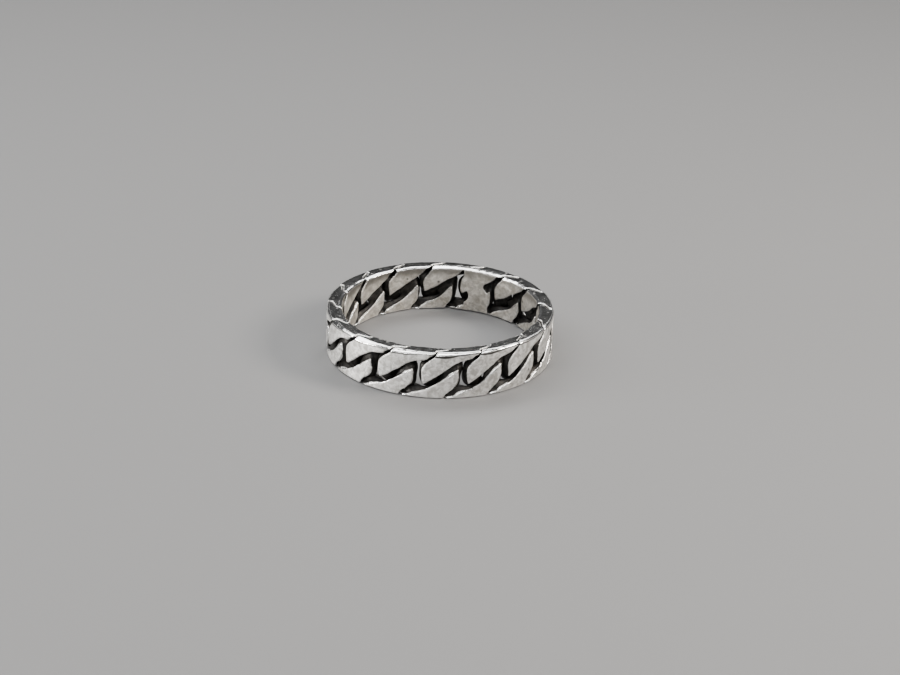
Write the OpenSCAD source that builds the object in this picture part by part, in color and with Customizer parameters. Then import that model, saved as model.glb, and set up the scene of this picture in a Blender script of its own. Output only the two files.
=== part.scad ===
// Woven ring: a band of sixteen curb links, closed into a circle and ground flat on
// its outer face, its inner face and both edges.
// Frame: +Z runs along the finger, the ring rests on Z = 0, and the origin is the
// centre of the band on that plane. Angles are counted about Z from -Y, the front,
// and grow towards +X. Lengths are millimetres.

/* [Band] */
// Radius of the finger hole
inner_r = 9.5; // [9:0.1:10.2]
// Thickness of the band, from the finger hole to the outer face
band_t = 1.5; // [1.4:0.05:1.6]
// Height of the band, along the finger
band_h = 4.7; // [4.5:0.05:4.9]
// Chamfer on the two outer edges of the band
outer_chamfer = 0.25; // [0.15:0.05:0.35]
// Chamfer on the two edges of the finger hole
inner_chamfer = 0.12; // [0.05:0.01:0.2]

/* [Links] */
// Diameter of the round wire that a link is bent from
wire_d = 1.66; // [1.5:0.02:1.68]
// Length of a link's oval, along the centre of the wire
loop_len = 6.36; // [6.2:0.02:6.5]
// Width of a link's oval, along the centre of the wire
loop_w = 4.24; // [4.1:0.02:4.4]
// Turn of each end of the oval out of the plane of its middle, in degrees
end_twist = 37; // [34:1:40]
// How far the middle of the wire lies outside the middle of the band
loop_offset = 0.2; // [0.1:0.02:0.24]
// How far the two ends of the oval are bent in towards the finger
end_dip = 0.32; // [0.2:0.02:0.4]
// How far the left end of the oval is pushed down, and the right end up
end_shift = 0.32; // [0.2:0.02:0.4]
// Width of the seam between neighbours on the two edges of the band
seam = 0.12; // [0.08:0.01:0.2]

/* [Solder] */
// Thickness of the solder that fills the joint, from the finger hole outwards
solder_t = 0.6; // [0.4:0.05:0.8]
// Radius of the two round pits left open at the ends of the joint
pit_r = 0.5; // [0.4:0.05:0.55]

/* [Hidden] */

LINKS = 16;                  // in the whole ring
PITCH = 360 / LINKS;         // degrees from link to link
FIRST_ANGLE = -55.6;         // middle of link_01
JOINT = 9;                   // place of the soldered pair's first link, from 0
STATIONS = 32;               // rings of points along a link's wire
SIDES = 12;                  // points round the wire
SIDE_STEP = 360 / SIDES;     // degrees from side to side
SLACK = 1;                   // how far cutting shapes run past what they cut

outer_r = inner_r + band_t;
core_r = inner_r + band_t / 2 + loop_offset;
core_pitch = 2 * PI * core_r / LINKS;
// the polygon's corners lie a little outside the round wire, so that it keeps the area
wire_r = wire_d / 2 / sqrt(cos(180 / SIDES));

// The walls between neighbours on the two edges of the band follow the middle between
// their wires at the first height, and reach down to the second, both up from the
// middle of the band. Places along the band are counted from a link's middle
seam_height = 2.1;
edge_foot = 1.9;
seam_start = 1.25;
seam_step = 0.2;

// Middle of the solder and of its pits: degrees from the middle of the joint between
// the two links, and height from the middle of the band
solder_reach = 7.8;
pit_angle = 7.6;
pit_height = 0.69;

function radial(angle) = [sin(angle), -cos(angle), 0];
function unit(v) = v / norm(v);

// A point near the core of the band: along it in mm, out from it, and up from its middle
function on_band(along, out, up) =
    (core_r + out) * radial(along / core_r * 180 / PI) + [0, 0, up + band_h / 2];

// Turn of the oval's plane at a place q along it, from -1, its left end, to 1, its right
function twist(q) = -end_twist * (1.8 * q - 0.8 * pow(q, 3));

// The wire's centre in a cross-section of the band, as [out, up]: side is 1 for the
// upper half of the oval, -1 for the lower half, and less near its ends
function section_centre(q, side) =
    let (across = loop_w / 2 * side)
    [
        across * sin(twist(q)) - end_dip * q * q,
        across * cos(twist(q)) + end_shift * pow(q, 3)
    ];

// The centre of the wire at a turn t of the oval, for a link whose middle faces -Y
function wire_centre(t) =
    let (centre = section_centre(cos(t), sin(t)))
    on_band(loop_len / 2 * cos(t), centre[0], centre[1]);

// The upper half of the oval, as [out, up], at a distance along the band
function bar(along) =
    let (q = along / loop_len * 2)
    section_centre(q, sqrt(max(0, 1 - q * q)));

// How far out the middle between a link's upper half and its right-hand neighbour's
// lies, at a distance along the band and at the seam's height
function seam_out(along) =
    let (
        own = bar(along),
        other = bar(along - core_pitch),
        middle = (own + other) / 2,
        across = other - own
    )
    middle[0] - (seam_height - middle[1]) * across[1] / across[0];

// The seam on a link's right as places [along, out], from outside the band to inside it
seam_line = [
    [seam_start, band_t],
    for (along = [seam_start:seam_step:loop_len / 2]) [along, seam_out(along)],
    [loop_len / 2, -band_t],
];

// A point inside the oval from which the wire's rings of points take their direction
function eye_point(t) = on_band(0.6 * loop_len / 2 * cos(t), 0, 0);

// The points round the wire at a turn t of the oval
function wire_ring(t) =
    let (
        centre = wire_centre(t),
        along = unit(wire_centre(t + 1) - wire_centre(t - 1)),
        away = centre - eye_point(t),
        side = unit(away - (away * along) * along),
        up = cross(along, side)
    )
    [for (k = [0:SIDES - 1])
        let (angle = SIDE_STEP * (k + 0.5))
        centre + wire_r * (cos(angle) * side + sin(angle) * up)];

// The closed loop of round wire
module wire_loop() {
    points = [for (s = [0:STATIONS - 1]) each wire_ring(360 * s / STATIONS)];
    faces = [for (s = [0:STATIONS - 1], k = [0:SIDES - 1])
        let (
            next_s = (s + 1) % STATIONS,
            next_k = (k + 1) % SIDES,
            a = s * SIDES + k,
            b = s * SIDES + next_k,
            c = next_s * SIDES + next_k,
            d = next_s * SIDES + k
        )
        each [[a, c, b], [a, d, c]]];
    polyhedron(points, faces);
}

// What fills the upper edge of the band out to a link's seams on the left and right
module edge_fill() {
    gap = seam / 2 * [cos(45), cos(45)];
    count = len(seam_line);
    right = [for (p = seam_line) p - gap];
    left = [for (i = [count - 1:-1:0]) seam_line[i] + gap - [core_pitch, 0]];
    translate([0, 0, band_h / 2 + edge_foot])
        linear_extrude(band_h / 2 - edge_foot + SLACK)
            polygon([for (p = concat(right, left))
                let (point = on_band(p[0], p[1], 0))
                [point[0], point[1]]]);
}

// One link before grinding, turned to its place on the ring
module raw_link(angle) {
    rotate([0, 0, angle]) {
        wire_loop();
        edge_fill();
        translate([0, 0, band_h]) rotate([0, 180, 0]) edge_fill();
    }
}

// The space that grinding leaves: the whole band as one plain ring
module ground_band() {
    rotate_extrude($fn = 180) polygon([
        [inner_r, inner_chamfer],
        [inner_r + inner_chamfer, 0],
        [outer_r - outer_chamfer, 0],
        [outer_r, outer_chamfer],
        [outer_r, band_h - outer_chamfer],
        [outer_r - outer_chamfer, band_h],
        [inner_r + inner_chamfer, band_h],
        [inner_r, band_h - inner_chamfer],
    ]);
}

// One link, ground flat with the band
module link(angle) {
    color("silver") intersection() {
        raw_link(angle);
        ground_band();
    }
}

// A round pit, bored from the finger hole into the solder
module pit(angle, height) {
    translate([0, 0, band_h / 2 + height]) rotate([90, 0, angle])
        translate([0, 0, inner_r - SLACK])
            cylinder(r = pit_r, h = solder_t + 2 * SLACK, $fn = 32);
}

// The solder between two neighbours, facing the finger, with its two pits
module solder(angle) {
    difference() {
        rotate([0, 0, angle - 90 - solder_reach])
            rotate_extrude(angle = 2 * solder_reach, $fn = 180)
                translate([inner_r - SLACK, 0]) square([solder_t + SLACK, band_h]);
        pit(angle + pit_angle, -pit_height);
        pit(angle - pit_angle, pit_height);
    }
}

// The two links where the ring is closed, and the solder that joins them
module soldered_pair() {
    first = FIRST_ANGLE + JOINT * PITCH;
    color("silver") intersection() {
        union() {
            raw_link(first);
            raw_link(first + PITCH);
            solder(first + PITCH / 2);
        }
        ground_band();
    }
}

// A place along the ring, from 0, where a single link is drawn
module link_at(place) {
    link(FIRST_ANGLE + place * PITCH);
}

link_at(0);  // link_01
link_at(1);  // link_02
link_at(2);  // link_03
link_at(3);  // link_04
link_at(4);  // link_05
link_at(5);  // link_06
link_at(6);  // link_07
link_at(7);  // link_08
link_at(8);  // link_09
soldered_pair();
link_at(11);  // link_10
link_at(12);  // link_11
link_at(13);  // link_12
link_at(14);  // link_13
link_at(15);  // link_14
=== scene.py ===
"""Looks of the woven ring: each link is cut again at a fine grain, in worn, oxidised silver."""

import bpy
import numpy as np
from mathutils import Matrix, Vector


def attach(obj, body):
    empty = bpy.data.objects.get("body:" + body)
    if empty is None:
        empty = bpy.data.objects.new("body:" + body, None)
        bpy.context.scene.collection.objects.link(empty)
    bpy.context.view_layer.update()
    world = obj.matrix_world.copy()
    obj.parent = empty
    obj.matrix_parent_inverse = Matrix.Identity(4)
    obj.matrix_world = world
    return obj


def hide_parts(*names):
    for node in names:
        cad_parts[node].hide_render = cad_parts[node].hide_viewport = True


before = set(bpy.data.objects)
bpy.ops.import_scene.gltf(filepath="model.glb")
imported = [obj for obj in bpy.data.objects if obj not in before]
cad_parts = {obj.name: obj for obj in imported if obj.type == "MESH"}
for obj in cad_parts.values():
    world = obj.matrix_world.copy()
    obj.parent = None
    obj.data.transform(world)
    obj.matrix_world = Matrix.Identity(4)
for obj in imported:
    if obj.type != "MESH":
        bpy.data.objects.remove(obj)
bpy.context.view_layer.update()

# Sizes in millimetres, as the part has them
INNER, OUTER, HEIGHT = 9.5, 11.0, 4.7
BAND_T = OUTER - INNER
MID = HEIGHT / 2
CORE = 10.45
HALF_LEN, HALF_WIDTH = 3.18, 2.12
WIRE_R = 0.83
TWIST, DIP, SHIFT = np.radians(37.0), 0.32, 0.32
LINKS = 16
PITCH = 360.0 / LINKS
FIRST_ANGLE = -55.6
JOINT = 9
CORE_PITCH = 2 * np.pi * CORE / LINKS

# What fills the edges of the band: the width of the seam between two links and the share
# of it that each side lies off along both axes, where the seam starts along the band, the
# height it is worked out at, and the height the fill reaches down to
SEAM_GAP, SEAM_LEAN = 0.13, 0.35
SEAM_OUTSIDE, SEAM_START = 1.2, 1.25
SEAM_HEIGHT = 2.1
EDGE_FOOT = 1.86

# The solder: how many degrees it reaches either way, its thickness, and its two pits
SOLDER_REACH, SOLDER_T = 7.8, 0.6
PIT_ANGLE, PIT_HEIGHT, PIT_R = 9.3, 0.66, 0.74

# Grid that the links are cut on: degrees round the ring, radius and height
STEPS_A_PITCH = 60
D_ANGLE = PITCH / STEPS_A_PITCH
REACH_STEPS = 63
ANGLES = np.arange(-REACH_STEPS, REACH_STEPS + 1) * D_ANGLE
# The soldered pair's grid spans both its links, counted from the first one's middle
PAIR = np.arange(-REACH_STEPS, REACH_STEPS + STEPS_A_PITCH + 1) * D_ANGLE
D_R = 0.062
RADII = 9.38 + D_R * np.arange(28)
D_Z = 0.066
HEIGHTS = -0.14 + D_Z * np.arange(76)
# Millimetres along the band in one degree, for the noise
DEGREE = 0.18
# A distance that lies beyond any on the grid
FAR = 9
# Straight pieces that the round wire's centre line is measured along
WIRE_STEPS = 144
ROOT_HALF, ROOT_TWO = 0.7071, 1.414

# Outlines of the upper half's ground faces, (along the face, up from the band's middle).
# Those of the lower half are turned over, and share only the rounded end with the upper's
OUTER_END = [
    (-3.81, -0.55), (-3.85, -0.2), (-3.88, 0.2), (-3.85, 0.5), (-3.75, 0.8), (-3.55, 1.12),
    (-3.3, 1.4), (-2.98, 1.64), (-2.74, 1.86), (-2.62, 2.1), (-2.56, 2.35), (-2.5, 2.7),
]
OUTER_FACE = OUTER_END + [
    (1.74, 2.7), (1.7, 2.3), (1.5, 2.1), (1.2, 1.91), (0.9, 1.72), (0.6, 1.61), (0.2, 1.52),
    (-0.3, 1.4), (-0.66, 1.22), (-1.02, 0.96), (-1.82, 0.39), (-2.8, -0.26), (-3.76, -0.8),
]
OUTER_LOW_FACE = OUTER_END + [
    (1.58, 2.7), (1.5, 2.36), (1.2, 2.2), (0.9, 2.02), (0.6, 1.92), (0.2, 1.79), (-0.3, 1.58),
    (-0.66, 1.5), (-1.02, 1.3), (-1.82, 0.81), (-2.8, 0.16), (-3.72, -0.5),
]
INNER_END = [
    (3.42, 0.1), (3.43, 0.6), (3.36, 1.1), (3.2, 1.42), (2.95, 1.72), (2.72, 2.0),
    (2.6, 2.35), (2.55, 2.7),
]
INNER_FACE = [(3.36, -0.28)] + INNER_END + [
    (-0.98, 2.7), (-0.95, 2.35), (-0.78, 2.2), (-0.45, 2.05), (-0.1, 1.75), (0.25, 1.46),
    (0.85, 1.02), (1.55, 0.62), (2.35, 0.17),
]
INNER_LOW_FACE = [(3.38, -0.2)] + INNER_END + [
    (-0.98, 2.7), (-0.92, 2.48), (-0.6, 2.3), (-0.2, 2.07), (0.25, 1.82), (0.85, 1.48),
    (1.55, 1.1), (2.2, 0.78), (2.74, 0.46), (3.1, 0.14),
]
# Radii at which a link starts to turn from its round wire into its ground outlines, over
# what depth it does, and the radius that the inner outlines are measured at
OUTER_START, OUTER_DEPTH = 10.45, 0.45
INNER_START, INNER_DEPTH = 10.02, 0.4
INNER_AT = INNER + 0.05

# Where the pressed wire swells inside the band, for a link and the same turned over:
# place along the band, height and radius, how far it spreads each way, and how much
SWELLS = [
    (-1.85, -0.20, 9.90, 0.55, 0.27, 0.18, 0.50),
    (-3.70, 1.05, 10.35, 0.32, 0.46, 0.25, 0.44),
]
# The right end of a link that leaves its neighbour no more than a low gap, and by how
# much it swells there, for links that don't swell as usual. Here and below, a link is told
# by its place in the row, from 0
TIGHT_END = (3.98, 0.90, 10.15, 0.34, 0.46, 0.24, 1)
TIGHTNESS = {0: 0.3, 1: 0, 2: 0.5, 9: 0, 10: 1.35}
USUAL_TIGHTNESS = 1.1
# Swellings that one link alone has, below zero where it is hollow instead
OWN_SWELLS = {
    8: (3.98, -0.95, 10.15, 0.34, 0.55, 0.24, 1),
    9: (3.98, -0.1, 10.1, 0.34, 0.9, 0.3, 0.3),
    11: (-4.0, -0.1, 10.0, 0.45, 0.9, 0.4, -0.3),
}
# How much shorter a link's inner faces are at its left end
SHORT_FACES = {11: 0.28}
# No end of a link reaches further along the band than this
END_STOP = 4.24

# How far grinding and wear left the faces inside the part's band
SKIN = 0.012
# Links whose upper edge ends clearly lower than its neighbour's, left and right
LOW_ENDS = {14: (0.11, 0.02)}
# Sizes of the upper edge's outer bevel, of the painted shade line under it and of the inner
# lip, and of the lower edge's bevel
USUAL_BEVELS = (0.2, 0.02, 0.24)
PAIR_BEVELS = (0.2, 0.02, 0.5)
BEVELS = {
    15: (0.26, 0.02, 0.24), 0: (0.34, 0.02, 0.24), 1: (0.33, 0.01, 0.24),
    2: (0.28, 0.03, 0.24), 3: (0.27, 0.10, 0.24), 4: (0.24, 0.06, 0.24),
}
LOWER_BEVEL = 0.12
# The middle of an upper edge lies this far along the band. It is level so far either way,
# and then drops over so far, by this much at least
EDGE_MIDDLE, EDGE_LEVEL, EDGE_RUN, EDGE_DROP = -0.3, 1.6, 1.4, 0.045
# The lower half's faces lie below a line that climbs along the band, the other way on the
# inside, and passes so far under the middle. Their rims are worn by so much on each side
RIM_SLOPE, RIM_LEVEL = 0.6, 0.9
OUTER_WEAR, INNER_WEAR = 0.055, 0.04
# Small casting pits on one link's piece of the grid
CASTING_PITS = 14


# Fields: signed distances in millimetres on the grid, below zero inside the metal
def smooth_step(x):
    x = np.clip(x, 0, 1)
    return x * x * (3 - 2 * x)


def smooth_min(a, b, k):
    h = np.maximum(k - np.abs(a - b), 0) / k
    return np.minimum(a, b) - h * h * k / 4


def smooth_max(a, b, k):
    return -smooth_min(-a, -b, k)


def lattice(rng, axes, spacing):
    """Smooth noise from -1 to 1 over a grid, from values on a coarser one."""
    counts, places, shares = [], [], []
    for axis in axes:
        at = (axis - axis[0]) / spacing
        low = np.floor(at).astype(int)
        counts.append(low[-1] + 3)
        places.append(low)
        shares.append(smooth_step(at - low))
    out = rng.uniform(-1, 1, counts)
    for k in range(len(axes)):
        a = np.take(out, places[k], axis=k)
        b = np.take(out, places[k] + 1, axis=k)
        shape = [1] * len(axes)
        shape[k] = -1
        share = shares[k].reshape(shape)
        out = a * (1 - share) + b * share
    return out.astype(np.float32)


def polygon_distance(px, py, points):
    """Signed distance to a closed outline, below zero inside."""
    best = np.full(px.shape, 1e9, np.float32)
    inside = np.zeros(px.shape, bool)
    for (ax, ay), (bx, by) in zip(points, points[1:] + points[:1]):
        ex, ey = bx - ax, by - ay
        t = np.clip(((px - ax) * ex + (py - ay) * ey) / (ex * ex + ey * ey), 0, 1)
        best = np.minimum(best, np.hypot(px - ax - t * ex, py - ay - t * ey))
        if ay != by:
            crosses = (ay > py) != (by > py)
            inside ^= crosses & (px < (bx - ax) * (py - ay) / (by - ay) + ax)
    return np.where(inside, -best, best)


def section_centre(q, side):
    """The wire's centre in a cross-section of the band, as the part has it."""
    across = HALF_WIDTH * side
    turn = -TWIST * (1.8 * q - 0.8 * q**3)
    out = across * np.sin(turn) - DIP * q * q
    up = across * np.cos(turn) + SHIFT * q**3
    return out, up


def wire_field():
    """Distance to the round wire of a link whose middle is at angle 0."""
    t = np.linspace(0, 2 * np.pi, WIRE_STEPS + 1)[:-1]
    out, up = section_centre(np.cos(t), np.sin(t))
    at = HALF_LEN * np.cos(t) / CORE
    line = np.stack([(CORE + out) * np.sin(at), -(CORE + out) * np.cos(at), up + MID], 1)
    line = line.astype(np.float32)
    a, r, z = np.meshgrid(np.radians(ANGLES), RADII, HEIGHTS, indexing="ij")
    points = np.stack([r * np.sin(a), -r * np.cos(a), z], -1).reshape(-1, 3).astype(np.float32)
    best = np.full(len(points), 1e9, np.float32)
    for start, end in zip(line, np.roll(line, -1, 0)):
        along = end - start
        rel = points - start
        share = np.clip(rel @ along / (along @ along), 0, 1)
        rel -= share[:, None] * along
        best = np.minimum(best, np.einsum("ij,ij->i", rel, rel))
    return (np.sqrt(best) - WIRE_R).reshape(a.shape)


def bar(along):
    """The wire of the upper half, as (out, up), at a distance along the band."""
    q = along / HALF_LEN
    return section_centre(q, np.sqrt(np.maximum(0, 1 - q * q)))


def seam_line():
    """The seam on a link's right over the band's edge, as (along, out) from outside to inside."""
    along = np.arange(SEAM_START, HALF_LEN, 0.1)
    own, other = bar(along), bar(along - CORE_PITCH)
    middle = (own[0] + other[0]) / 2
    rise = SEAM_HEIGHT - (own[1] + other[1]) / 2
    out = middle - rise * (other[1] - own[1]) / (other[0] - own[0])
    return [(SEAM_OUTSIDE, BAND_T)] + list(zip(along, out)) + [(HALF_LEN, -BAND_T)]


def edge_field():
    """Distance in plan to what fills the upper edge of the band between a link's two seams."""
    line = seam_line()
    half = SEAM_GAP * SEAM_LEAN
    right = [(x - half, y - half) for x, y in line]
    left = [(x + half - CORE_PITCH, y + half) for x, y in reversed(line)]
    a, r = np.meshgrid(np.radians(ANGLES) * CORE, RADII - CORE, indexing="ij")
    return polygon_distance(a, r, right + left)


def swell(place, side=1):
    """How much a swelling adds at each point, or the same one turned over."""
    x, y, radius, wide, high, deep, amount = place
    along = (np.radians(ANGLES) * CORE - side * x)[:, None, None] / wide
    out = (RADII - radius)[None, :, None] / deep
    up = (HEIGHTS - MID - side * y)[None, None, :] / high
    return amount * np.exp(-(along**2 + out**2 + up**2) / 2)


def base_field():
    """A link's wire with the built-up upper and lower edges of the band."""
    plan = edge_field()[:, :, None]
    up = HEIGHTS[None, None, :] - MID
    upper = smooth_max(plan, EDGE_FOOT - up, 0.12)
    lower = smooth_max(plan[::-1], EDGE_FOOT + up, 0.12)
    field = smooth_min(wire_field(), smooth_min(upper, lower, 0.02), 0.14)
    for place in SWELLS:
        for side in (1, -1):
            field = field - swell(place, side)
    return field


def face_field(radius, outlines, warp):
    """Distance on the face at a radius to a link's ground outlines there, upper and lower."""
    x, up = np.meshgrid(np.radians(ANGLES) * radius, HEIGHTS - MID, indexing="ij")
    x = x + warp[0]
    up = up + warp[1]
    return np.minimum(
        polygon_distance(x, up, outlines[0]), polygon_distance(-x, -up, outlines[1])
    )


def at_radius(field, radius):
    """The layer of a field that lies nearest to a radius."""
    return field[:, np.abs(RADII - radius).argmin()][:, None, :]


def right_neighbours(base):
    """Distance to the next two links on the right."""
    beside = np.full_like(base, FAR)
    beside[STEPS_A_PITCH:] = base[:-STEPS_A_PITCH]
    second = slice(2 * STEPS_A_PITCH, None)
    beside[second] = np.minimum(beside[second], base[:-2 * STEPS_A_PITCH])
    return beside


def swollen_field(field, spot):
    """Adds the swellings of the link at a place in the row, which stop where they meet another."""
    swollen = field - TIGHTNESS.get(spot, USUAL_TIGHTNESS) * tight_end
    if spot in OWN_SWELLS:
        swollen = swollen - swell(OWN_SWELLS[spot])
    return np.maximum(swollen, np.minimum(field, -beside))


def ground_faces(rng, spot):
    """Distances to the outlines on the outer and the inner face, uneven as each link's are."""
    flat = (ANGLES * DEGREE, HEIGHTS)
    faces = []
    outer_faces, inner_faces = (OUTER_FACE, OUTER_LOW_FACE), (INNER_FACE, INNER_LOW_FACE)
    for radius, outlines in ((OUTER, outer_faces), (INNER_AT, inner_faces)):
        warp = [0.045 * lattice(rng, flat, 0.9) + 0.02 * lattice(rng, flat, 0.3) for _ in (0, 1)]
        if radius < CORE:
            along = np.radians(ANGLES) * radius
            pull = SHORT_FACES.get(spot, 0) * smooth_step((-along - 1.6) / 1.2)
            warp[0] = warp[0] - pull[:, None]
        faces.append(face_field(radius, outlines, warp)[:, None, :])
    return faces


def link_field(rng, spot):
    """The link at a place in the row before grinding, with its own small faults."""
    axes = (ANGLES * DEGREE, RADII, HEIGHTS)
    wide = lattice(rng, axes, 1.3)
    small = lattice(rng, axes, 0.4)
    ragged = lattice(rng, axes, 0.16)
    field = swollen_field(base + 0.03 * wide + 0.012 * small, spot)
    faces = ground_faces(rng, spot)
    share = smooth_step((RADII - OUTER_START) / OUTER_DEPTH)[None, :, None]
    field = field + share * (faces[0] - at_radius(base, OUTER))
    share = smooth_step((INNER_START - RADII) / INNER_DEPTH)[None, :, None]
    field = field + share * (faces[1] - at_radius(base, INNER))
    field = field + 0.016 * ragged * np.clip(wide * 2 + 0.4, 0, 1)
    past_end = (np.abs(np.radians(ANGLES)) * CORE - END_STOP)[:, None, None]
    return smooth_max(field, past_end, 0.05)


def painted_shade_line(side, above, width):
    """How far off a painted shade line right under the upper edge's bevel a point is, in half
    widths.
    """
    half = 0.03 + width * np.exp(-(((side + 1.6) / 0.9) ** 2))
    return np.clip((above + 0.03 + half) / half, -4, 4)


def rim_wear(a, r, up, ripple):
    """What is worn off the rims of the lower half's faces that look up, unevenly."""
    outside = r > CORE - 0.2
    slope = np.where(outside, RIM_SLOPE, -RIM_SLOPE)
    looks_up = smooth_step((slope * a - RIM_LEVEL - up) / 0.3 + 0.5)
    wear = np.where(outside, OUTER_WEAR, INNER_WEAR) * looks_up
    return wear * np.clip(0.55 + 0.8 * ripple, 0, 1)


def band_field(rng, drops, bevels):
    """Distance to the ground band, whose edges are bevelled as each link's are.

    The drops are how much lower the upper edge's two ends lie. The bevels are the size of
    the one outside, at its left, how wide the painted shade line under it is, and the lip's width
    inside.
    Also returns how far each point is on a rounded edge and off the painted shade line, and the
    wear.
    """
    a, r, z = np.meshgrid(np.radians(ANGLES) * CORE, RADII, HEIGHTS, indexing="ij")
    up = z - MID
    side = np.where(up > 0, a, -a)
    wave = lattice(rng, (ANGLES * DEGREE, HEIGHTS), 1.1)[:, None, :] * 0.012
    ripple = lattice(rng, (ANGLES * DEGREE, HEIGHTS), 0.45)[:, None, :]
    ends = np.abs(side - EDGE_MIDDLE) - EDGE_LEVEL
    drop = EDGE_DROP + np.where(side > EDGE_MIDDLE, drops[1], drops[0]) * (up > 0)
    top = MID - SKIN - drop * smooth_step(ends / EDGE_RUN) + wave
    outer = r - OUTER + SKIN + wave
    inner = INNER + SKIN - wave - r
    edge = np.abs(up) - top
    tail = smooth_step((side + 2.4) / 4.0)
    leg = np.where(up > 0, bevels[0] * (1 - 0.5 * tail), LOWER_BEVEL) + 0.025 * ripple
    bevel = (outer + edge + leg) * ROOT_HALF
    high, deep = 0.13 + 0.03 * ripple, bevels[2] + 0.06 * ripple
    lip = (edge / high + inner / deep + 1) / np.hypot(1 / high, 1 / deep)
    flat = smooth_max(smooth_max(outer, inner, 0.01), edge, 0.04)
    field = smooth_max(smooth_max(flat, bevel, 0.09), lip, 0.06)
    rounding = np.clip(1 + (np.maximum(bevel, lip) - flat) / 0.05, 0, 1)
    return field, rounding, painted_shade_line(side, edge + leg, bevels[1]), rim_wear(a, r, up, ripple)


def solder_field(rng):
    """Distance to the solder between the two links of the joint, with its two pits."""
    middle = PITCH / 2
    far = np.radians(np.abs(PAIR - middle) - SOLDER_REACH)[:, None, None] * INNER
    plate = np.maximum(far, (RADII - INNER - SOLDER_T)[None, :, None]) + 0 * HEIGHTS
    plate = plate + 0.03 * lattice(rng, (PAIR * DEGREE, RADII, HEIGHTS), 0.5)
    for side in (1, -1):
        da = np.radians(PAIR - middle - side * PIT_ANGLE)[:, None, None] * INNER
        dz = (HEIGHTS - MID + side * PIT_HEIGHT)[None, None, :]
        uneven = 0.04 * lattice(rng, (PAIR * DEGREE, HEIGHTS), 0.3)[:, None, :]
        hole = PIT_R - np.hypot(da, dz) + uneven
        plate = smooth_max(plate, hole + 0 * RADII[None, :, None], 0.06)
    return plate


def pit(field, stain_and_shade, angles, centre, size):
    """Sinks a round pit and stains it, centre is (degrees, radius, height)."""
    da = (np.radians(angles - centre[0]) * centre[1])[:, None, None]
    dr = (RADII - centre[1])[None, :, None]
    dz = (HEIGHTS - centre[2])[None, None, :]
    reach = size * 2.5
    near_a = np.abs(da[:, 0, 0]) < reach
    near_r = np.abs(dr[0, :, 0]) < reach
    near_z = np.abs(dz[0, 0, :]) < reach
    where = np.ix_(near_a, near_r, near_z)
    ball = size - np.sqrt(da[near_a] ** 2 + dr[:, near_r] ** 2 + dz[:, :, near_z] ** 2)
    field[where] = smooth_max(field[where], ball, 0.03)
    stain_and_shade[where] = np.maximum(stain_and_shade[where], np.clip(1.3 + ball / 0.08, 0, 1))


def sink_pits(field, stain_and_shade, angles, rng):
    """Small casting pits on the edges of the band and on the faces."""
    for _ in range(int(CASTING_PITS * len(angles) / len(ANGLES))):
        angle = rng.uniform(angles[0], angles[-1])
        if rng.random() < 0.8:
            place = (angle, rng.uniform(9.7, 10.8), rng.choice([0.05, HEIGHT - 0.05]))
            size = rng.uniform(0.03, 0.08)
        else:
            place = (angle, rng.choice([INNER, OUTER]), rng.uniform(0.5, 4.2))
            size = rng.uniform(0.03, 0.06)
        pit(field, stain_and_shade, angles, place, size)


# Meshes
def cell_points(field):
    """Surface nets: one point in each cell that the surface crosses, and the points' numbers."""
    shape = np.array(field.shape) - 1
    total = np.zeros(tuple(shape) + (3,), np.float32)
    count = np.zeros(tuple(shape), np.float32)
    for axis in range(3):
        low = [slice(None)] * 3
        high = [slice(None)] * 3
        low[axis], high[axis] = slice(0, -1), slice(1, None)
        a, b = field[tuple(low)], field[tuple(high)]
        cross = (a < 0) != (b < 0)
        share = np.where(cross, a / np.where(cross, a - b, 1), 0)
        first, second = (k for k in range(3) if k != axis)
        for i in (0, 1):
            for j in (0, 1):
                part = [slice(None)] * 3
                part[first] = slice(i, i + shape[first])
                part[second] = slice(j, j + shape[second])
                here = cross[tuple(part)]
                total[..., axis] += np.where(here, share[tuple(part)], 0)
                total[..., first] += here * i
                total[..., second] += here * j
                count += here
    used = count > 0
    number = np.full(tuple(shape), -1)
    number[used] = np.arange(used.sum())
    return np.argwhere(used) + total[used] / count[used][:, None], number


def cell_faces(inside, number):
    """A quad round each grid edge that the surface crosses, facing out of the metal."""
    quads = []
    for axis in range(3):
        low = [slice(1, -1)] * 3
        high = [slice(1, -1)] * 3
        low[axis], high[axis] = slice(0, -1), slice(1, None)
        a, b = inside[tuple(low)], inside[tuple(high)]
        first, second = (k for k in range(3) if k != axis)
        for way, where in ((1, a & ~b), (-1, ~a & b)):
            spots = np.argwhere(where)
            spots[:, first] += 1
            spots[:, second] += 1
            corners = []
            for i, j in ((0, 0), (1, 0), (1, 1), (0, 1)):
                spot = spots.copy()
                spot[:, first] -= 1 - i
                spot[:, second] -= 1 - j
                corners.append(number[spot[:, 0], spot[:, 1], spot[:, 2]])
            quad = np.stack(corners, 1)
            if (way > 0) != (axis != 1):
                quad = quad[:, ::-1]
            quads.append(quad)
    quads = np.concatenate(quads)
    return quads[(quads >= 0).all(1)]


def largest_part(count, quads):
    """Keeps the faces of the largest connected part, so that no crumb floats in a pit."""
    label = np.arange(count)
    while True:
        least = label[quads].min(1)
        new = label.copy()
        for k in range(4):
            np.minimum.at(new, quads[:, k], least)
        new = new[new]
        if (new == label).all():
            break
        label = new
    names, sizes = np.unique(label[quads[:, 0]], return_counts=True)
    return quads[label[quads[:, 0]] == names[sizes.argmax()]]


def cut_mesh(field):
    """Points of the surface, in grid steps, and its quads."""
    places, number = cell_points(field)
    quads = largest_part(len(places), cell_faces(field < 0, number))
    used = np.unique(quads)
    index = np.full(len(places), -1)
    index[used] = np.arange(len(used))
    return places[used], index[quads]


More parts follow.
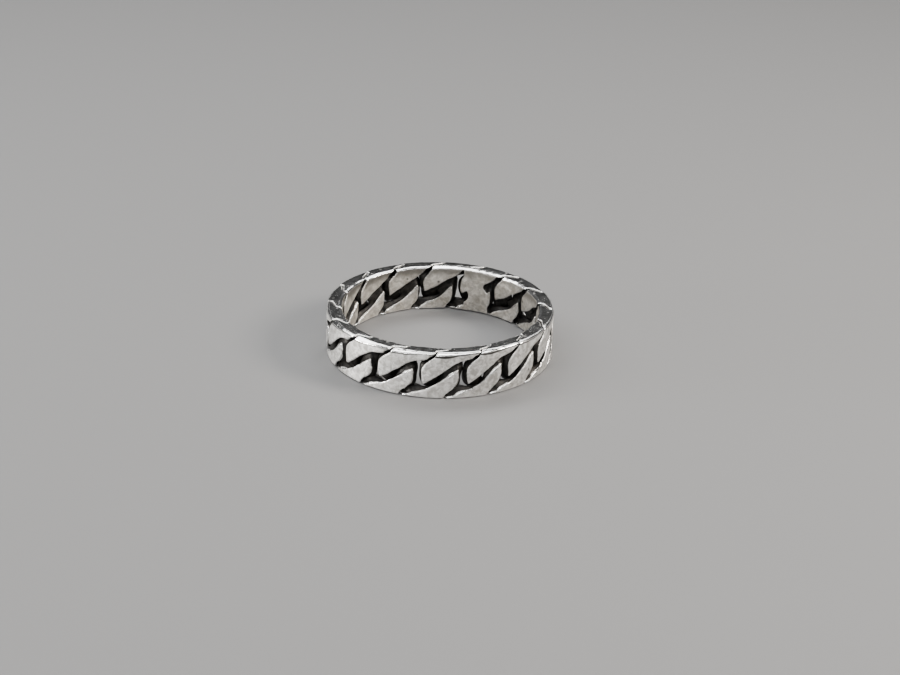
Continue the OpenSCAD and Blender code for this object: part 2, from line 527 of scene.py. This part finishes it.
def sample(field, places):
    """A field's values at places between the grid's points."""
    low = np.clip(np.floor(places).astype(int), 0, np.array(field.shape) - 2)
    share = places - low
    out = 0
    for i in (0, 1):
        for j in (0, 1):
            for k in (0, 1):
                weight = (
                    (share[:, 0] if i else 1 - share[:, 0])
                    * (share[:, 1] if j else 1 - share[:, 1])
                    * (share[:, 2] if k else 1 - share[:, 2])
                )
                out = out + weight * field[low[:, 0] + i, low[:, 1] + j, low[:, 2] + k]
    return out


def paint(mesh, fields, places, r, z):
    """Stores on each point what the material needs to know about it."""
    solid, band, rounding, line, stain_and_shade = (sample(field, places) for field in fields)
    # how far below the ground faces each point lies, in mm, and how close to a worn edge
    below = np.clip(-band, 0, 1)
    edge = np.clip(1 - (np.abs(solid) + below) / 0.15, 0, 1)
    inside = np.clip((9.9 - r) / 0.3, 0, 1)
    # painted contact shadow: the metal within 0.12 mm of the floor darkens as the pits' stains do
    stain_and_shade = np.maximum(stain_and_shade, np.clip((0.12 - z) / 0.08, 0, 1))
    layers = {
        "below": below, "edge": edge, "rounding": rounding, "line": line, "stain_and_shade": stain_and_shade,
        "inside": inside,
    }
    for label, values in layers.items():
        layer = mesh.attributes.new(label, "FLOAT", "POINT")
        layer.data.foreach_set("value", values.astype(np.float32))


def make_object(name, angle, angles, fields, places, quads):
    """Adds a cut mesh to the scene, turned to its angle on the ring, in metres."""
    a = np.radians(np.interp(places[:, 0], np.arange(len(angles)), angles) + angle)
    r = np.interp(places[:, 1], np.arange(len(RADII)), RADII)
    z = np.interp(places[:, 2], np.arange(len(HEIGHTS)), HEIGHTS)
    points = np.stack([r * np.sin(a), -r * np.cos(a), z], 1) / 1000
    mesh = bpy.data.meshes.new(name)
    mesh.vertices.add(len(points))
    mesh.vertices.foreach_set("co", points.astype(np.float32).ravel())
    mesh.loops.add(quads.size)
    mesh.loops.foreach_set("vertex_index", quads.astype(np.int32).ravel())
    mesh.polygons.add(len(quads))
    mesh.polygons.foreach_set("loop_start", np.arange(0, quads.size, 4, dtype=np.int32))
    mesh.polygons.foreach_set("use_smooth", np.ones(len(quads), bool))
    mesh.update(calc_edges=True)
    mesh.validate()
    paint(mesh, fields, places, r, z)
    piece = bpy.data.objects.new(name, mesh)
    bpy.context.scene.collection.objects.link(piece)
    return piece


# Materials
class Nodes:
    """Short hand for building one material's nodes."""

    def __init__(self, name):
        self.material = bpy.data.materials.new(name)
        self.material.use_nodes = True
        self.tree = self.material.node_tree
        self.shader = self.tree.nodes["Principled BSDF"]
        self.place = self.tree.nodes.new("ShaderNodeTexCoord").outputs["Object"]

    def link(self, start, end):
        self.tree.links.new(start, end)

    def put(self, socket, value):
        if isinstance(value, bpy.types.NodeSocket):
            self.link(value, socket)
        else:
            socket.default_value = value

    def attribute(self, name):
        node = self.tree.nodes.new("ShaderNodeAttribute")
        node.attribute_name = name
        return node.outputs["Fac"]

    def up(self, vector):
        node = self.tree.nodes.new("ShaderNodeSeparateXYZ")
        self.link(vector, node.inputs[0])
        return node.outputs["Z"]

    def scaled(self, x, y, z):
        node = self.tree.nodes.new("ShaderNodeMapping")
        node.inputs["Scale"].default_value = (x, y, z)
        self.link(self.place, node.inputs["Vector"])
        return node.outputs["Vector"]

    def noise(self, scale, detail=4, rough=0.6, distort=0.0, place=None):
        node = self.tree.nodes.new("ShaderNodeTexNoise")
        node.inputs["Scale"].default_value = scale
        node.inputs["Detail"].default_value = detail
        node.inputs["Roughness"].default_value = rough
        node.inputs["Distortion"].default_value = distort
        self.link(place or self.place, node.inputs["Vector"])
        return node.outputs["Fac"]

    def math(self, kind, a, b=0.0):
        node = self.tree.nodes.new("ShaderNodeMath")
        node.operation = kind
        self.put(node.inputs[0], a)
        self.put(node.inputs[1], b)
        return node.outputs[0]

    def times(self, a, b):
        return self.math("MULTIPLY", a, b)

    def most(self, a, b):
        return self.math("MAXIMUM", a, b)

    def shifted(self, value, noise, amount):
        """The value, made uneven by a noise."""
        return self.math("ADD", value, self.times(self.math("SUBTRACT", noise, 0.5), amount))

    def span(self, value, low, high, to_low=0.0, to_high=1.0):
        node = self.tree.nodes.new("ShaderNodeMapRange")
        node.interpolation_type = "SMOOTHSTEP"
        self.link(value, node.inputs["Value"])
        for label, number in (
            ("From Min", low), ("From Max", high), ("To Min", to_low), ("To Max", to_high)
        ):
            node.inputs[label].default_value = number
        return node.outputs["Result"]

    def mix(self, share, a, b, kind="MIX"):
        node = self.tree.nodes.new("ShaderNodeMix")
        node.data_type = "RGBA"
        node.blend_type = kind
        self.put(node.inputs["Factor"], share)
        self.put(node.inputs[6], a)
        self.put(node.inputs[7], b)
        return node.outputs[2]

    def between(self, share, a, b):
        """A number between two others."""
        node = self.tree.nodes.new("ShaderNodeMix")
        self.put(node.inputs[0], share)
        self.put(node.inputs[2], a)
        self.put(node.inputs[3], b)
        return node.outputs[0]

    def bump(self, height, distance, strength, under=None):
        node = self.tree.nodes.new("ShaderNodeBump")
        node.inputs["Strength"].default_value = strength
        node.inputs["Distance"].default_value = distance
        self.link(height, node.inputs["Height"])
        if under is not None:
            self.link(under, node.inputs["Normal"])
        return node.outputs["Normal"]


# Colours of the metal
SATIN = (0.46, 0.445, 0.415, 1), (0.95, 0.94, 0.915, 1)
CLOUDED = (0.62, 0.60, 0.565, 1)
SPECK = (0.36, 0.345, 0.32, 1)
EVEN = (0.94, 0.93, 0.90, 1)
WARM = (0.76, 0.72, 0.66, 1), (1.0, 0.975, 0.93, 1)
# painted shade of the inner faces' upper part
SHADED_INNER_RIM = (0.15, 0.14, 0.125, 1)
# painted shade of the faces that look straight up
SHADED_TOP = (0.19, 0.19, 0.188, 1), (0.48, 0.477, 0.468, 1)
POLISHED = (0.95, 0.945, 0.93, 1)
# real oxide in the hollows, and also the colour of the painted shade line and painted contact
# shadow
OXIDE_AND_SHADE = (0.004, 0.0037, 0.0034, 1), (0.024, 0.0215, 0.019, 1)
# Heights in metres that the painted shade line lies above, and between which the inside is painted
# darker, as shade
SHADE_LINE_FROM = 0.003, 0.0032
INNER_SHADE_FROM = 0.0034, 0.0043
PALE_FLOOR = (0.165, 0.165, 0.165, 1)


def oxide_and_shade_share(n, grain, inside):
    """How dark the metal is: oxide below the ground faces, stains in pits, a painted contact
    shadow along the bottom and a painted shade line under the upper bevel.
    """
    # oxide starts a few hundredths of a millimetre below the ground faces
    depth = n.shifted(n.attribute("below"), grain, 0.1)
    dark = n.most(n.span(depth, 0.05, 0.12), n.times(n.attribute("stain_and_shade"), 0.95))
    # painted shade: a dark line right under the upper edge's bevel, on the outside only
    off_shade_line = n.shifted(n.math("ABSOLUTE", n.attribute("line")), grain, 1.6)
    outside = n.math("SUBTRACT", n.span(n.up(n.place), *SHADE_LINE_FROM), inside)
    return n.most(dark, n.times(n.span(off_shade_line, 0.7, 1.4, 0.96, 0.0), outside))


def satin_colour(n, cloud, wide, inside):
    """Satin faces: cloudy light grey with finer and darker specks, warmer inside, with painted
    shade towards the inner faces' upper edge.
    """
    bright = n.mix(n.span(cloud, 0.34, 0.66), *SATIN)
    bright = n.mix(n.span(wide, 0.35, 0.65, 0.0, 0.3), bright, CLOUDED)
    fine = n.noise(26000, 3, 0.6)
    speck = n.times(n.span(fine, 0.57, 0.68), n.span(wide, 0.4, 0.6, 0.2, 0.7))
    bright = n.mix(speck, bright, SPECK)
    warm = n.mix(n.span(n.noise(1100, 4, 0.6, 0.6), 0.34, 0.62), *WARM)
    even = n.mix(0.2, bright, EVEN)
    bright = n.mix(inside, bright, n.mix(1.0, even, warm, "MULTIPLY"))
    # painted shade: the inner faces are darker towards the upper edge
    level = n.shifted(n.up(n.place), wide, 0.0012)
    rim = n.times(n.span(level, *INNER_SHADE_FROM), inside)
    return n.mix(n.times(rim, 0.85), bright, SHADED_INNER_RIM)


def silver_relief(n, grain, smooth, brushed):
    """Fine relief of the satin faces, less of it where they are smooth."""
    if brushed:
        lines = n.noise(3600, 4, 0.7, 0.9, n.scaled(0.4, 0.4, 1.6))
    else:
        lines = n.noise(2600, 4, 0.72, 1.2)
    rough_part = n.math("SUBTRACT", 1.0, n.times(smooth, 0.92))
    relief = n.bump(n.times(lines, rough_part), 0.00006, 0.35 if brushed else 0.6)
    return n.bump(n.times(grain, rough_part), 0.00002, 0.6, relief)


def silver_material(name, brushed):
    n = Nodes(name)
    inside = n.attribute("inside")
    grain = n.noise(9000, 5, 0.65)
    cloud = n.noise(2000, 4, 0.62, 0.8)
    wide = n.noise(600, 3, 0.5)
    dark = oxide_and_shade_share(n, grain, inside)
    normal = n.tree.nodes.new("ShaderNodeNewGeometry").outputs["Normal"]
    flat_top = n.span(n.math("ABSOLUTE", n.up(normal)), 0.9, 0.985)
    ragged = n.times(n.attribute("edge"), n.span(grain, 0.42, 0.58))
    shine = n.most(ragged, n.attribute("rounding"))
    # painted shade: faces that look straight up take a darker cloudy grey, for the dark
    # surroundings they reflect
    top_shade = n.mix(n.span(cloud, 0.38, 0.62), *SHADED_TOP)
    worn = n.mix(n.times(flat_top, 0.85), satin_colour(n, cloud, wide, inside), top_shade)
    worn = n.mix(shine, worn, POLISHED)
    oxide_and_shade = n.mix(n.span(cloud, 0.36, 0.68), *OXIDE_AND_SHADE)
    n.link(n.mix(dark, worn, oxide_and_shade), n.shader.inputs["Base Color"])
    metal = n.span(n.most(shine, n.times(flat_top, 0.9)), 0, 1, 0.90, 1.0)
    n.link(n.times(metal, n.span(dark, 0, 1, 1.0, 0.6)), n.shader.inputs["Metallic"])
    satin = n.math("ADD", 0.34, n.times(cloud, 0.24))
    rough = n.between(n.most(shine, n.times(flat_top, 0.85)), satin, 0.16)
    n.link(n.between(dark, rough, 0.45), n.shader.inputs["Roughness"])
    smooth = n.most(shine, n.times(flat_top, 0.5))
    n.link(silver_relief(n, grain, smooth, brushed), n.shader.inputs["Normal"])
    n.put(n.shader.inputs["Specular IOR Level"], 0.3)
    return n.material


def floor_material():
    n = Nodes("pale_floor")
    n.put(n.shader.inputs["Base Color"], PALE_FLOOR)
    n.put(n.shader.inputs["Roughness"], 0.75)
    return n.material


# Links
def place_link(name, node, spot, fields, angles, material, rng):
    """Grinds a link with the band, wears and pits it, and adds it at its place in the row."""
    solid, band, rounding, line, wear = fields
    rim = (solid + band) * ROOT_HALF + wear
    near_rim = np.clip(1 + (rim - np.maximum(solid, band)) / 0.02, 0, 1)
    rounding = np.maximum(rounding, near_rim * np.clip(wear / 0.02, 0, 1))
    field = smooth_max(smooth_max(solid, band, 0.09), rim, 0.03)
    # what is worn off a rim doesn't count as lying below the face, so it stays bright
    band = band + ROOT_TWO * wear
    stain_and_shade = np.zeros_like(field)
    sink_pits(field, stain_and_shade, angles, rng)
    places, quads = cut_mesh(field)
    fields = (solid, band, rounding, line, stain_and_shade)
    piece = make_object(name, FIRST_ANGLE + spot * PITCH, angles, fields, places, quads)
    piece.data.materials.append(material)
    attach(piece, "root")
    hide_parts(node)


def add_single_links(material):
    """Adds every link but the joint's two, numbered in the part's order."""
    singles = [spot for spot in range(LINKS) if spot not in (JOINT, JOINT + 1)]
    for number, spot in enumerate(singles, 1):
        rng = np.random.default_rng(100 + spot)
        drops = LOW_ENDS.get(spot, rng.uniform(0, 0.05, 2))
        solid = link_field(rng, spot)
        looks = band_field(rng, drops, BEVELS.get(spot, USUAL_BEVELS))
        label = "link_%02d" % number
        place_link(label + "_worn", label, spot, (solid,) + looks, ANGLES, material, rng)


def half_of_pair(rng, k):
    """The fields of one of the joint's two links, on the grid that spans both."""
    shape = (len(PAIR), len(RADII), len(HEIGHTS))
    # what solid, band, rounding, line and wear are beyond the link's own part of the grid
    beyond = (2, FAR, 0, 4, 0)
    fields = [np.full(shape, value, np.float32) for value in beyond]
    part = slice(k * STEPS_A_PITCH, k * STEPS_A_PITCH + len(ANGLES))
    solid = link_field(rng, JOINT + k)
    for field, values in zip(fields, (solid,) + band_field(rng, (0, 0), PAIR_BEVELS)):
        field[part] = values
    return fields


def add_soldered_pair(material):
    """Adds the joint's two links and the solder between them as one piece."""
    rng = np.random.default_rng(7)
    first = half_of_pair(rng, 0)
    second = half_of_pair(rng, 1)
    plate = solder_field(rng)
    solid = smooth_min(smooth_min(first[0], second[0], 0.03), plate, 0.06)
    band = np.minimum(first[1], second[1])
    rounding = np.where(first[1] < second[1], first[2], second[2])
    line = np.where(first[1] < second[1], first[3], second[3])
    wear = np.where(first[0] < second[0], first[4], second[4]) * (plate > 0.2)
    fields = (solid, band, rounding, line, wear)
    place_link("soldered_pair_worn", "soldered_pair", JOINT, fields, PAIR, material, rng)


base = base_field()
beside = right_neighbours(base)
tight_end = swell(TIGHT_END)
satin_silver = silver_material("satin_silver", False)
brushed_silver = silver_material("brushed_silver", True)
add_single_links(satin_silver)
add_soldered_pair(brushed_silver)

# Stage
FLOOR_REACH = 0.6
AIM = Vector((0, 0, 0.002))


def add_floor():
    mesh = bpy.data.meshes.new("floor")
    reach = FLOOR_REACH
    corners = [(-reach, -reach, 0), (reach, -reach, 0), (reach, reach, 0), (-reach, reach, 0)]
    mesh.from_pydata(corners, [], [(0, 1, 2, 3)])
    floor = bpy.data.objects.new("floor", mesh)
    floor.data.materials.append(floor_material())
    bpy.context.scene.collection.objects.link(floor)


def area_light(name, place, size, power, color=(1, 1, 1)):
    light = bpy.data.lights.new(name, "AREA")
    light.shape = "RECTANGLE"
    light.size, light.size_y = size
    light.energy = power
    light.color = color
    lamp = bpy.data.objects.new(name, light)
    lamp.location = place
    aim = AIM - Vector(place)
    lamp.rotation_euler = aim.to_track_quat("-Z", "Y").to_euler()
    bpy.context.scene.collection.objects.link(lamp)


add_floor()
area_light("overhead_front", (-0.01, -0.13, 0.22), (0.40, 0.08), 0.8)
area_light("overhead_back", (-0.03, 0.13, 0.22), (0.30, 0.10), 0.8)
area_light("left", (-0.22, 0.05, 0.17), (0.14, 0.12), 0.38)
area_light("key", (-0.27, -0.05, 0.016), (0.09, 0.022), 0.95, (1, 0.985, 0.96))
area_light("front", (-0.12, -0.33, 0.03), (0.28, 0.04), 0.34)
area_light("right", (0.22, -0.05, 0.15), (0.08, 0.08), 1.2, (1, 0.93, 0.85))

world = bpy.data.worlds.new("studio")
world.use_nodes = True
backdrop = world.node_tree.nodes["Background"]
backdrop.inputs["Color"].default_value = (0.55, 0.56, 0.58, 1)
backdrop.inputs["Strength"].default_value = 0.09
bpy.context.scene.world = world

# The photograph's camera, fitted to the ring: the picture's size, the middle of the lens
# and the focal length in pixels, then radians down and aslant, and distance in metres
PHOTO_WIDTH, PHOTO_HEIGHT = 900, 675
CENTRE_X, CENTRE_Y = 439.78, 327.08
FOCAL = 2048.65
ELEVATION = 0.4288
ROLL = 0.0267
DISTANCE = 18.107 * 0.011
SENSOR = 36
RING_MIDDLE = Vector((0, 0, 0.00235))


def add_camera():
    toward = Vector((0, -np.cos(ELEVATION), np.sin(ELEVATION)))
    lens = bpy.data.cameras.new("camera")
    lens.sensor_width = SENSOR
    lens.lens = FOCAL / PHOTO_WIDTH * SENSOR
    lens.shift_x = (PHOTO_WIDTH / 2 - CENTRE_X) / PHOTO_WIDTH
    lens.shift_y = -(PHOTO_HEIGHT / 2 - CENTRE_Y) / PHOTO_WIDTH
    lens.clip_start = 0.01
    camera = bpy.data.objects.new("camera", lens)
    turn = (-toward).to_track_quat("-Z", "Y").to_matrix() @ Matrix.Rotation(ROLL, 3, "Z")
    place = RING_MIDDLE + DISTANCE * toward
    camera.matrix_world = Matrix.LocRotScale(place, turn.to_quaternion(), None)
    bpy.context.scene.collection.objects.link(camera)
    bpy.context.scene.camera = camera


add_camera()
